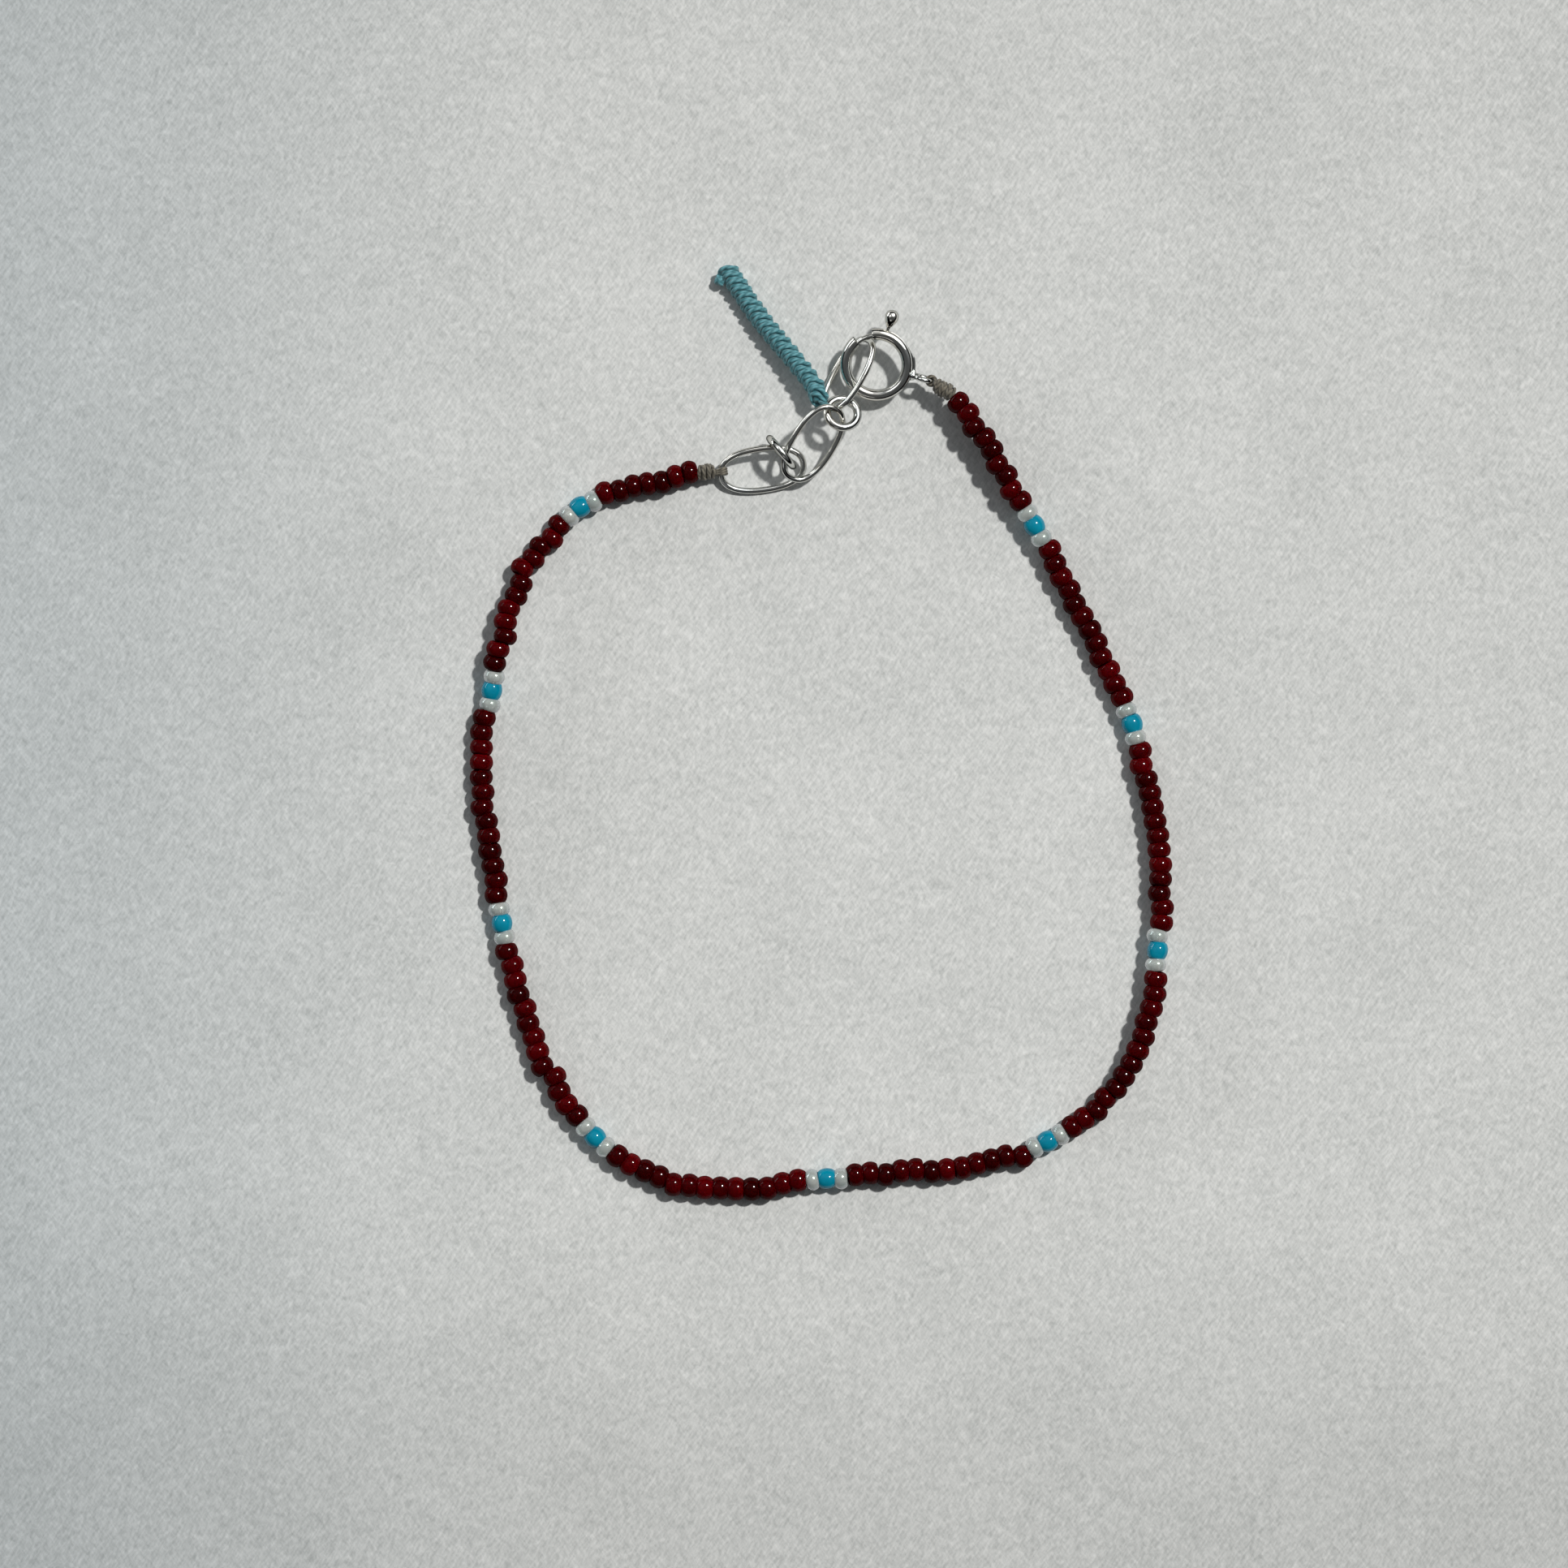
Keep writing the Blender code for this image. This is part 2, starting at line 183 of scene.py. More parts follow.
def redGlassFinish():
    # a thin coat alone mirrors the room, so that the bead's outline stays dark
    f = Finish("red_glass", Specular_IOR_Level=0.0,
               Coat_Weight=0.12, Coat_IOR=1.6, Coat_Roughness=0.10,
               Subsurface_Weight=0.6, Subsurface_Radius=(0.6, 0.03, 0.03), Subsurface_Scale=mm)
    # each bead has its own depth of colour, with a cloud in it
    cloud = f.noise(900.0, 2.0)
    depth = f.spread(f.attribute("tone") + (cloud - 0.5) * 0.8, 0.0, 1.0, 0.0, 1.0)
    f.link(f.ramp(depth, (0.0, (0.026, 0.00005, 0.0003)), (0.6, (0.061, 0.0001, 0.0010)),
                  (1.0, (0.092, 0.0002, 0.0016))), "Base Color")
    f.link(f.spread(f.noise(2500.0, 3.0), 0.3, 0.8, 0.08, 0.14), "Roughness")
    return f.material


def whiteGlassFinish():
    # the thin film gives the pearly shimmer
    f = Finish("white_glass", IOR=1.5, Transmission_Weight=0.45,
               Coat_Weight=1.0, Coat_IOR=1.9, Coat_Roughness=0.16,
               Thin_Film_Thickness=420.0, Thin_Film_IOR=1.6)
    cloud = f.noise(700.0, 2.0)
    f.link(f.ramp(cloud, (0.3, (0.58, 0.67, 0.66)), (0.7, (0.78, 0.80, 0.77))), "Base Color")
    f.link(f.spread(f.noise(2000.0, 3.0), 0.3, 0.8, 0.16, 0.28), "Roughness")
    return f.material


def turquoiseGlassFinish():
    f = Finish("turquoise_glass", IOR=1.5, Transmission_Weight=0.15, Specular_IOR_Level=0.3)
    cloud = f.noise(800.0, 3.0)
    f.link(f.ramp(cloud, (0.3, (0.000, 0.24, 0.38)), (0.7, (0.004, 0.34, 0.50))), "Base Color")
    f.link(f.spread(f.noise(1800.0, 3.0), 0.3, 0.8, 0.09, 0.18), "Roughness")
    return f.material


def silverFinish(tint):
    # the specular tint darkens the metal's outline
    f = Finish("silver", Metallic=1.0, Specular_Tint=(0.05, 0.06, 0.06, 1.0))
    dull = tuple(0.94 * c * s for c, s in zip(tint, (0.96, 1.0, 1.01)))
    warm = tuple(c * s for c, s in zip(tint, (1.0, 0.975, 0.92)))
    f.link(f.ramp(f.noise(260.0, 4.0), (0.35, dull), (0.65, warm)), "Base Color")
    f.link(f.spread(f.noise(1400.0, 5.0), 0.35, 0.75, 0.03, 0.12), "Roughness")
    dents = f.noise(520.0, 2.0) * 0.7 + f.noise(1800.0, 3.0) * 0.3
    f.bump(dents, 0.06, 0.45)
    return f.material


def threadFinish(name, dark, light, plies, pitch, roughness):
    # twisted plies follow the strand's own map: x is the length in millimetres,
    # y the share of the way round
    f = Finish(name, Roughness=roughness, Sheen_Weight=0.25, Sheen_Roughness=0.5)
    strand = f.node("ShaderNodeTexCoord", out="UV")
    turn = (f.axis(strand, 0) / pitch + f.axis(strand, 1) * plies) * (2 * math.pi)
    plyRidgeAndShade = f.node("ShaderNodeMath", {"operation": "SINE"}, {0: turn}) * 0.5 + 0.5
    fuzz = f.noise(5200.0, 4.0)
    # the colour is painted highlight on the plies' crests and painted shade in the grooves between
    # them; the fuzz varies it at random
    tone = plyRidgeAndShade * 0.55 + fuzz * 0.6
    f.link(f.ramp(tone, (0.15, dark), (0.85, light)), "Base Color")
    f.bump(plyRidgeAndShade * 0.7 + fuzz * 0.5, 0.05, 0.8)
    return f.material


sheet = {
    "grain": ((0.36, (0.545, 0.562, 0.555)), (0.64, (0.89, 0.898, 0.890))),
    "fibreTurns": (58.0, -55.0),  # long fibres lie two ways
    "fibreStretch": (3.2, 1.0, 1.0),
    # painted falloff of the light: bluish painted shade on the left, a little darker at the other
    # three edges, each as from, to, in metres, and the values before and after
    "left": (-0.080, -0.010, 0.0, 1.0),
    "leftPaintedShade": (0.75, 0.79, 0.82, 1.0),
    "bottom": (-0.066, -0.034, 0.86, 1.0),
    "top": (0.030, 0.062, 1.0, 0.965),
    "right": (0.025, 0.060, 1.0, 0.98),
}


def paperFinish(s):
    f = Finish("paper", Roughness=0.85, Specular_IOR_Level=0.3)
    here = f.place()
    broad = f.noise(70.0, 3.0, here)
    fibre = f.noise(900.0, 4.0, here, roughness=0.65, distortion=1.2)
    strands = []
    for turn in s["fibreTurns"]:
        drawn = f.node("ShaderNodeMapping", {"vector_type": "TEXTURE"}, {
            "Vector": here, "Rotation": (0.0, 0.0, math.radians(turn)),
            "Scale": s["fibreStretch"]})
        strands.append(f.noise(4400.0, 2.0, drawn))
    fine = strands[0] * 0.6 + strands[1] * 0.4
    tone = broad * 0.13 + fibre * 0.28 + fine * 0.59
    across, up = f.axis(here, 0), f.axis(here, 1)
    # painted shade: the tint and the edges darken the paper's colour as the light falls off
    # towards its sides
    tint = f.mix(f.spread(across, *s["left"]), s["leftPaintedShade"], (1.0, 1.0, 1.0, 1.0))
    edges = f.spread(up, *s["bottom"]) * f.spread(up, *s["top"]) * f.spread(across, *s["right"])
    grainWithPaintedShade = f.mix(1.0, f.ramp(tone, *s["grain"]), tint, "MULTIPLY")
    f.link(f.mix(1.0, grainWithPaintedShade, edges, "MULTIPLY"), "Base Color")
    f.bump(fibre * 0.5 + fine * 0.5, 0.10, 0.7)
    return f.material


finishes = {  # by the names of the record's slots, and the paper
    "red_glass": redGlassFinish(),
    "white_glass": whiteGlassFinish(),
    "turquoise_glass": turquoiseGlassFinish(),
    "silver": silverFinish((0.80, 0.79, 0.77)),
    "grey_thread": threadFinish("grey_thread", (0.035, 0.030, 0.022), (0.20, 0.18, 0.14),
                                plies=2, pitch=0.5, roughness=0.7),
    "teal_thread": threadFinish("teal_thread", (0.018, 0.130, 0.158), (0.13, 0.38, 0.435),
                                plies=2, pitch=0.6, roughness=0.55),
    "paper": paperFinish(sheet),
}
print("materials made")


# mesh helpers


def finishPiece(name, bm, finish, replaces=(), body="bracelet", levels=0):
    # from millimetres to the frame, with smooth faces; the object stays at the origin
    bmesh.ops.transform(bm, matrix=Matrix.Diagonal((mm, mm, mm, 1.0)) @ Matrix.Translation(shift),
                        verts=bm.verts)
    for face in bm.faces:
        face.smooth = True
    mesh = bpy.data.meshes.new(name)
    bm.to_mesh(mesh)
    bm.free()
    mesh.materials.append(finishes[finish])
    piece = bpy.data.objects.new(name, mesh)
    bpy.context.scene.collection.objects.link(piece)
    if levels:
        smooth = piece.modifiers.new("smooth", "SUBSURF")
        smooth.levels = smooth.render_levels = levels
    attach(piece, body)
    if replaces:
        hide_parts(*replaces)
    return piece


def smoothRoute(points, steps=24, past=0.3):
    # a smooth line through the points and a little past both ends, and each step's length along it
    pts = [Vector(p) for p in points]
    ends = [2 * pts[0] - pts[1]] + pts + [2 * pts[-1] - pts[-2]]
    fine = [pts[0] - (pts[1] - pts[0]) * past]
    for a, b, c, d in zip(ends, ends[1:], ends[2:], ends[3:]):
        for k in range(steps):
            t = k / steps
            fine.append(0.5 * (2 * b + (c - a) * t + (2 * a - 5 * b + 4 * c - d) * t * t
                               + (3 * b - a - 3 * c + d) * t ** 3))
    fine.append(pts[-1])
    fine.append(pts[-1] + (pts[-1] - pts[-2]) * past)
    lengths = [0.0]
    for p, q in zip(fine, fine[1:]):
        lengths.append(lengths[-1] + (q - p).length)
    start = (fine[1] - fine[0]).length
    return fine, [s - start for s in lengths]


def atLength(route, s, floor=None):
    # the point at a length along a smooth route, not lower than the floor
    fine, lengths = route
    i = 0
    while i < len(lengths) - 2 and lengths[i + 1] < s:
        i += 1
    p = fine[i].lerp(fine[i + 1], (s - lengths[i]) / (lengths[i + 1] - lengths[i]))
    if floor is not None:
        p.z = max(p.z, floor)
    return p


def tubeInto(bm, points, radii, sides=8, closed=False, twist="MINIMUM"):
    # a round strand through the points, added to bm with a map of its length and its way round
    curve = bpy.data.curves.new("strand", "CURVE")
    curve.dimensions = "3D"
    curve.twist_mode = twist
    curve.bevel_depth = 1.0
    curve.bevel_resolution = (sides - 4) // 2
    spline = curve.splines.new("POLY")
    spline.points.add(len(points) - 1)
    for point, co, radius in zip(spline.points, points, radii):
        point.co = (*co, 1.0)
        point.radius = radius
    spline.use_cyclic_u = closed
    holder = bpy.data.objects.new("strand", curve)
    bpy.context.scene.collection.objects.link(holder)
    bpy.context.view_layer.update()
    graph = bpy.context.evaluated_depsgraph_get()
    mesh = bpy.data.meshes.new_from_object(holder.evaluated_get(graph))
    bpy.data.objects.remove(holder)
    bpy.data.curves.remove(curve)
    old = len(bm.verts)
    bm.from_mesh(mesh)
    bpy.data.meshes.remove(mesh)
    bm.verts.ensure_lookup_table()
    new = bm.verts[old:]
    lengths = [0.0]
    for p, q in zip(points, list(points[1:]) + [points[0]]):
        lengths.append(lengths[-1] + (Vector(q) - Vector(p)).length)
    strandMap = bm.loops.layers.uv.get("UVMap") or bm.loops.layers.uv.new("UVMap")
    across = len(new) // len(points)
    place = {v: divmod(i, across) for i, v in enumerate(new)}
    for face in {f for v in new for f in v.link_faces}:
        spots = [place[loop.vert] for loop in face.loops]
        wrapsRound = max(s[1] for s in spots) - min(s[1] for s in spots) > 1
        wrapsLong = max(s[0] for s in spots) - min(s[0] for s in spots) > 1
        for loop, (ring, side) in zip(face.loops, spots):
            if wrapsRound and side == 0:
                side = across
            if wrapsLong and ring == 0:
                ring = len(points)
            loop[strandMap].uv = (lengths[ring], side / across)
    if not closed:
        for ends in (new[:across], new[-across:]):  # each open end is closed with a low cap
            rim = [e for e in {e for v in ends for e in v.link_edges} if e.is_boundary]
            if rim:
                bmesh.ops.holes_fill(bm, edges=rim, sides=0)


def joinInto(bm, other):
    mesh = bpy.data.meshes.new("joined")
    other.to_mesh(mesh)
    other.free()
    bm.from_mesh(mesh)
    bpy.data.meshes.remove(mesh)


def tilted(centre, rotation):
    return Matrix.Translation(Vector(centre)) @ rotation.to_4x4()


def eulerTurn(x, y, z):
    return (Matrix.Rotation(math.radians(z), 3, "Z") @ Matrix.Rotation(math.radians(y), 3, "Y")
            @ Matrix.Rotation(math.radians(x), 3, "X"))


# string of beads

string = {
    "route": (
        (-10.8, 21.3, 0.97), (-15.5, 20.2, 0.97), (-19.6, 18.7, 0.97), (-22.9, 15.5, 0.97),
        (-25.1, 11.7, 1.5), (-26.3, 7.3, 1.9), (-27.2, 2.5, 1.1), (-27.9, -2.2, 0.97),
        (-27.6, -7.0, 0.97), (-26.7, -11.9, 0.97), (-26.0, -16.6, 0.97), (-24.7, -21.5, 0.97),
        (-23.2, -26.0, 0.97), (-20.9, -30.3, 0.97), (-17.5, -34.0, 0.97), (-13.1, -36.5, 0.97),
        (-8.0, -37.4, 0.97), (-3.0, -36.9, 0.97), (1.8, -36.3, 0.97), (6.8, -35.9, 0.97),
        (11.8, -35.6, 0.97), (16.6, -34.2, 0.97), (20.8, -32.1, 0.97), (24.4, -28.7, 1.35),
        (26.3, -24.4, 1.8), (27.3, -19.8, 1.65), (27.7, -15.2, 1.4), (27.8, -10.4, 1.3),
        (27.1, -5.8, 1.15), (26.1, -1.2, 1.0), (24.6, 3.0, 0.97), (22.4, 7.6, 0.97),
        (20.2, 11.8, 0.97), (18.0, 16.0, 1.35), (15.7, 20.1, 1.75), (13.2, 24.2, 2.2),
        (11.2, 27.1, 2.05)),
    "counts": (7, 12, 13, 13, 13, 12, 13, 13, 12, 9),
    "pitches": (1.18, 1.15, 1.215, 1.225, 1.28, 1.25, 1.20, 1.18, 1.22, 1.19),
    "gap": 0.08,
    "rest": 0.975,  # a bead's middle is at least this high
    "thread": 0.13,
    "threadStep": 0.6,
    "threadEnd": 0.4,  # how far the thread goes on past the route
    "seed": 11,
}
beadKinds = {  # room is what a bead takes up along the thread
    "red": {"radius": 0.975, "length": 1.17, "round": 1.0, "aside": 0.20, "lean": 9.0},
    "white": {"radius": 0.91, "length": 1.04, "round": 1.0, "aside": 0.08, "lean": 9.0,
              "room": 0.94},
    "turquoise": {"radius": 0.88, "length": 1.36, "round": 0.9, "aside": 0.06, "lean": 6.0,
                  "room": 1.24},
}
beadOutline = {
    "length": 1.2,  # what the outline measures once the subdivision has rounded it
    "radius": 0.97,
    "edge": 0.73,  # where the ends turn in towards the hole
    "hole": 0.25,
    "steps": 10,
}
beadChance = {  # how much the beads differ from one another
    "spin": 36,
    "nod": 0.5,
    "swing": 0.6,
    "aside": 0.6,
    "slimmer": 0.03,
    "longer": 1.07,
    "usualTone": 0.35,
}
groups = len(string["counts"]) - 1
whiteRoom, turquoiseRoom = beadKinds["white"]["room"], beadKinds["turquoise"]["room"]
groupLength = 2 * whiteRoom + turquoiseRoom + 4 * string["gap"]
route = smoothRoute(string["route"])
routeLength = route[1][-2]
rawLength = (sum(n * p for n, p in zip(string["counts"], string["pitches"]))
             + groups * groupLength - (string["pitches"][0] + string["pitches"][-1]) / 2)
stretch = routeLength / rawLength


def stringAt(s):
    return atLength(route, s, string["rest"])


def beadCage(kind, o):
    # the outline of a drilled bead's wall, spun round the hole; the subdivision rounds it
    r, long, full = kind["radius"] / o["radius"], kind["length"] / o["length"], kind["round"]
    belly, shoulder = 1.04 + 0.05 * full, 1.02 - 0.08 * full
    profile = ((0.0, belly), (0.40, shoulder), (0.65, o["edge"]), (0.61, o["hole"]),
               (-0.61, o["hole"]), (-0.65, o["edge"]), (-0.40, shoulder))
    bm = bmesh.new()
    verts = [bm.verts.new((x * long, 0.0, z * r)) for x, z in profile]
    for a, b in zip(verts, verts[1:] + verts[:1]):
        bm.edges.new((a, b))
    bmesh.ops.spin(bm, geom=bm.verts[:] + bm.edges[:], cent=(0, 0, 0), axis=(1, 0, 0),
                   angle=2 * math.pi, steps=o["steps"], use_merge=True)
    bmesh.ops.remove_doubles(bm, verts=bm.verts, dist=1e-5)
    bmesh.ops.recalc_face_normals(bm, faces=bm.faces)
    mesh = bpy.data.meshes.new("bead_cage")
    bm.to_mesh(mesh)
    bm.free()
    return mesh


def addBead(bm, cage, kind, s, length, chance, c=beadChance):
    # a bead with its middle at a length along the string, a little out of true
    tone = bm.verts.layers.float.get("tone") or bm.verts.layers.float.new("tone")
    ahead = stringAt(s + length / 2) - stringAt(s - length / 2)
    heading = math.degrees(math.atan2(ahead.y, ahead.x))
    pitch = math.degrees(math.atan2(ahead.z, math.hypot(ahead.x, ahead.y)))
    lean = kind["lean"]
    turn = eulerTurn(chance.uniform(0, c["spin"]), -pitch + chance.gauss(0, c["nod"]) * lean,
                     heading + chance.gauss(0, c["swing"]) * lean)
    side = Vector((-ahead.y, ahead.x, 0.0)).normalized()
    side = side * chance.gauss(0, c["aside"]) * kind["aside"]
    slim = 1.0 - chance.uniform(0.0, c["slimmer"])
    longer = length / kind["length"] * chance.uniform(1.0, c["longer"])
    size = Matrix.Diagonal((longer, slim, slim, 1.0))
    old = len(bm.verts)
    bm.from_mesh(cage)
    bm.verts.ensure_lookup_table()
    new = bm.verts[old:]
    bmesh.ops.transform(bm, matrix=tilted(stringAt(s) + side, turn) @ size, verts=new)
    shade = chance.triangular(0.0, 1.0, c["usualTone"])
    for v in new:
        v[tone] = shade


def makeBeads():
    chance = random.Random(string["seed"])
    cages = {name: beadCage(kind, beadOutline) for name, kind in beadKinds.items()}
    accents = {"white": bmesh.new(), "turquoise": bmesh.new()}
    s = -string["pitches"][0] / 2 * stretch
    for run, (count, pitch) in enumerate(zip(string["counts"], string["pitches"]), 1):
        step = pitch * stretch
        bm = bmesh.new()
        for k in range(count):
            addBead(bm, cages["red"], beadKinds["red"], s + (k + 0.5) * step, step, chance)
        finishPiece("red_beads_%d" % run, bm, "red_glass", ["red_run_%d" % run], levels=2)
        s += count * step
        if run <= groups:
            middle = s + groupLength / 2 * stretch
            reach = (turquoiseRoom + whiteRoom) / 2 + string["gap"]
            for place, name in ((-reach, "white"), (0.0, "turquoise"), (reach, "white")):
                addBead(accents[name], cages[name], beadKinds[name], middle + place,
                        beadKinds[name]["length"], chance)
            s += groupLength * stretch
    finishPiece("white_beads", accents["white"], "white_glass",
                ["white_bead_%d" % n for n in range(1, 2 * groups + 1)], levels=2)
    finishPiece("turquoise_beads", accents["turquoise"], "turquoise_glass",
                ["turquoise_bead_%d" % n for n in range(1, groups + 1)], levels=2)
    for cage in cages.values():
        bpy.data.meshes.remove(cage)


def makeStringThread():
    bm = bmesh.new()
    steps = int(routeLength / string["threadStep"])
    end = string["threadEnd"]
    points = [stringAt(-end + (routeLength + 2 * end) * k / steps) for k in range(steps + 1)]
    tubeInto(bm, points, [string["thread"]] * len(points))
    finishPiece("string_thread", bm, "grey_thread")


makeBeads()
makeStringThread()
print("beads strung")


# chain of links and small rings

chain = {
    "wire": 0.25,
    "square": 2.35,  # how far an oval's outline leans towards a rectangle
    "ripple": (7, 0.012),  # how often and how much a link's wire swells along its way
    "steps": 96,
    "sides": 16,
    "ringSteps": 56,
    "ringSides": 18,
    "links": {  # centre, turn, roll, pitch, half length, half width
        "link_1": ((-4.85, 21.67, 0.92), 7.8, 21.3, 0.7, 3.40, 1.78),
        "link_2": ((-0.69, 23.73, 2.44), 58.2, 27.0, 16.6, 3.45, 1.80),
        "link_3": ((2.222, 29.437, 1.675), 61.8, -49.3, -5.1, 3.24, 1.80),
    },
    "rings": {  # centre, heading, lean, radius, wire
        "small_ring_1": ((-3.30, 23.03, 1.95), -50.0, 90.0, 1.47, 0.30),
        "small_ring_2": ((1.70, 26.20, 2.80), 153.0, 24.0, 1.28, 0.33),
    },
}


def ringSection(bm, radius, distance, sides, angle=0.0):
    # a circle across a ring's wire or tube, at an angle round the ring
    bmesh.ops.create_circle(bm, segments=sides, radius=radius, matrix=(
        Matrix.Rotation(math.radians(angle), 4, "Z") @ Matrix.Translation((distance, 0, 0))
        @ Matrix.Rotation(math.pi / 2, 4, "X")))


def wireRing(wire, radius, sides, steps):
    bm = bmesh.new()
    ringSection(bm, wire, radius, sides)
    bmesh.ops.spin(bm, geom=bm.verts[:] + bm.edges[:], cent=(0, 0, 0), axis=(0, 0, 1),
                   angle=2 * math.pi, steps=steps, use_merge=True)
    bmesh.ops.remove_doubles(bm, verts=bm.verts, dist=1e-5)
    bmesh.ops.recalc_face_normals(bm, faces=bm.faces)
    return bm


def makeChain(d):
    waves, swell = d["ripple"]
    power = 2 / d["square"]
    for name, (centre, turn, roll, pitch, halfLength, halfWidth) in d["links"].items():
        points, radii = [], []
        for i in range(d["steps"]):
            a = 2 * math.pi * i / d["steps"]
            c, s = math.cos(a), math.sin(a)
            points.append(Vector((halfLength * math.copysign(abs(c) ** power, c),
                                  halfWidth * math.copysign(abs(s) ** power, s), 0.0)))
            radii.append(d["wire"] * (1.0 + swell * math.sin(waves * a + turn)))
        bm = bmesh.new()
        tubeInto(bm, points, radii, d["sides"], closed=True, twist="Z_UP")
        bmesh.ops.recalc_face_normals(bm, faces=bm.faces)
        bmesh.ops.transform(bm, matrix=tilted(centre, eulerTurn(roll, -pitch, turn)),
                            verts=bm.verts)
        finishPiece("silver_" + name, bm, "silver", [name])
    for name, (centre, heading, lean, radius, wire) in d["rings"].items():
        bm = wireRing(wire, radius, d["ringSides"], d["ringSteps"])
        bmesh.ops.transform(bm, matrix=tilted(centre, eulerTurn(lean, 0, heading)),
                            verts=bm.verts)
        finishPiece("silver_" + name, bm, "silver", [name])


makeChain(chain)
print("chain linked")


# spring ring

springRing = {
    "centre": (4.5, 30.2, 2.02),
    "tilt": 12.0,
    "radius": 2.53,
    "tube": 0.47,
    "wall": 0.09,
    "gate": (97.0, 130.0),
    "slot": (28.0, 78.0, 0.42),  # from, to and how wide
    "slotMargin": 3.0,  # the faces are split this many degrees past the slot's ends
    "sides": 28,
    "steps": 109,
    "edge": (0.018, 50.0),  # how wide the edges are rounded, and from what angle
    "loopAngle": -16.5,
    "loop": (4.0, 0.68, 0.21),  # its distance from the ring's axis, its radius and its wire
    "loopSides": 16,
    "loopSteps": 48,
}
solder = {
    "out": 0.06,  # how far it lies outside the tube
    "sink": (0.08, 0.12),
    "span": 26.0,
    "steps": 32,
    "thin": 0.10,
    "lump": (0.25, 5.5),  # how much thicker it is under the loop, and over how many degrees
    "taper": (0.3, 0.08),  # the shares of its way over which its two ends run out
    "tip": 0.01,
    "sides": 14,
}
bolt = {
    "radius": 0.22,
    "distance": 2.385,  # from the ring's axis: it runs along the tube's inner wall
    "ends": (58.0, 133.0),
    "sides": 24,
    "steps": 30,
    "edge": 0.05,
    "trigger": 72.0,
    "knob": (  # radius, and distance from the ring's axis
        (0.14, 2.48), (0.14, 3.15), (0.30, 3.45), (0.48, 3.80), (0.56, 4.15), (0.46, 4.47),
        (0.24, 4.66), (0.0, 4.72)),
    "knobSteps": 44,
}
loopTurn = math.radians(springRing["loopAngle"])
ringPlace = tilted(springRing["centre"], Matrix.Rotation(
    math.radians(springRing["tilt"]), 3, (math.cos(loopTurn), math.sin(loopTurn), 0)))


def aroundRing(distance, turn):
    # a point in the ring's plane, at a distance from its axis and an angle round it
    return Vector((distance * math.cos(turn), distance * math.sin(turn), 0))


def makeSpringRing(r):
    bm = bmesh.new()
    ringSection(bm, r["tube"], r["radius"], r["sides"], r["gate"][1])
    sweep = 360 - (r["gate"][1] - r["gate"][0])
    bmesh.ops.spin(bm, geom=bm.verts[:] + bm.edges[:], cent=(0, 0, 0), axis=(0, 0, 1),
                   angle=math.radians(sweep), steps=r["steps"])
    low, high, wide = r["slot"]

    def outerFaces(margin):
        # the faces of the tube's outer side between the slot's ends
        found = []
        for f in bm.faces:
            middle = f.calc_center_median()
            angle = math.degrees(math.atan2(middle.y, middle.x)) % 360
            if low - margin < angle < high + margin and middle.xy.length > r["radius"]:
                found.append(f)
        return found

    for z in (-wide / 2, wide / 2):
        near = outerFaces(r["slotMargin"])
        verts, edges = {v for f in near for v in f.verts}, {e for f in near for e in f.edges}
        bmesh.ops.bisect_plane(bm, geom=[*verts, *edges, *near], plane_co=(0, 0, z),
                               plane_no=(0, 0, 1))
    cut = [f for f in outerFaces(0.0) if abs(f.calc_center_median().z) < wide / 2]
    bmesh.ops.delete(bm, geom=cut, context="FACES")
    bmesh.ops.recalc_face_normals(bm, faces=bm.faces)
    probe = max(bm.faces, key=lambda f: f.calc_center_median().z)
    if probe.normal.z < 0:
        bmesh.ops.reverse_faces(bm, faces=bm.faces)
    bmesh.ops.solidify(bm, geom=bm.faces[:], thickness=r["wall"])
    bmesh.ops.transform(bm, matrix=ringPlace, verts=bm.verts)
    ring = finishPiece("silver_spring_ring", bm, "silver", ["spring_ring"])
    edge = ring.modifiers.new("soft_edge", "BEVEL")
    edge.width = r["edge"][0] * mm
    edge.segments = 2
    edge.limit_method = "ANGLE"
    edge.angle_limit = math.radians(r["edge"][1])


def makeLoop(r):
    # the loop stands across the ring's plane
    distance, radius, wire = r["loop"]
    bm = wireRing(wire, radius, r["loopSides"], r["loopSteps"])
    stand = tilted(aroundRing(distance, loopTurn), eulerTurn(90, 0, r["loopAngle"]))
    bmesh.ops.transform(bm, matrix=ringPlace @ stand, verts=bm.verts)
    finishPiece("silver_loop", bm, "silver")


def makeSolder(r, d):
    # a lump under the loop, which runs out along the ring both ways
    bm = bmesh.new()
    reach = r["radius"] + r["tube"] + d["out"]
    lump, width = d["lump"]
    points, radii = [], []
    for k in range(d["steps"] + 1):
        share = k / d["steps"]
        a = math.radians(d["span"] - 2 * d["span"] * share)
        swell = math.exp(-((math.degrees(a) - r["loopAngle"]) / width) ** 2)
        ends = min(1.0, share / d["taper"][0], (1 - share) / d["taper"][1])
        radii.append((d["thin"] + lump * swell) * ends + d["tip"])
        points.append(aroundRing(reach, a))
        points[-1] *= (reach - d["sink"][0] + d["sink"][1] * ends) / reach
    tubeInto(bm, points, radii, d["sides"], twist="Z_UP")
    bmesh.ops.recalc_face_normals(bm, faces=bm.faces)
    bmesh.ops.transform(bm, matrix=ringPlace, verts=bm.verts)
    finishPiece("silver_solder", bm, "silver")


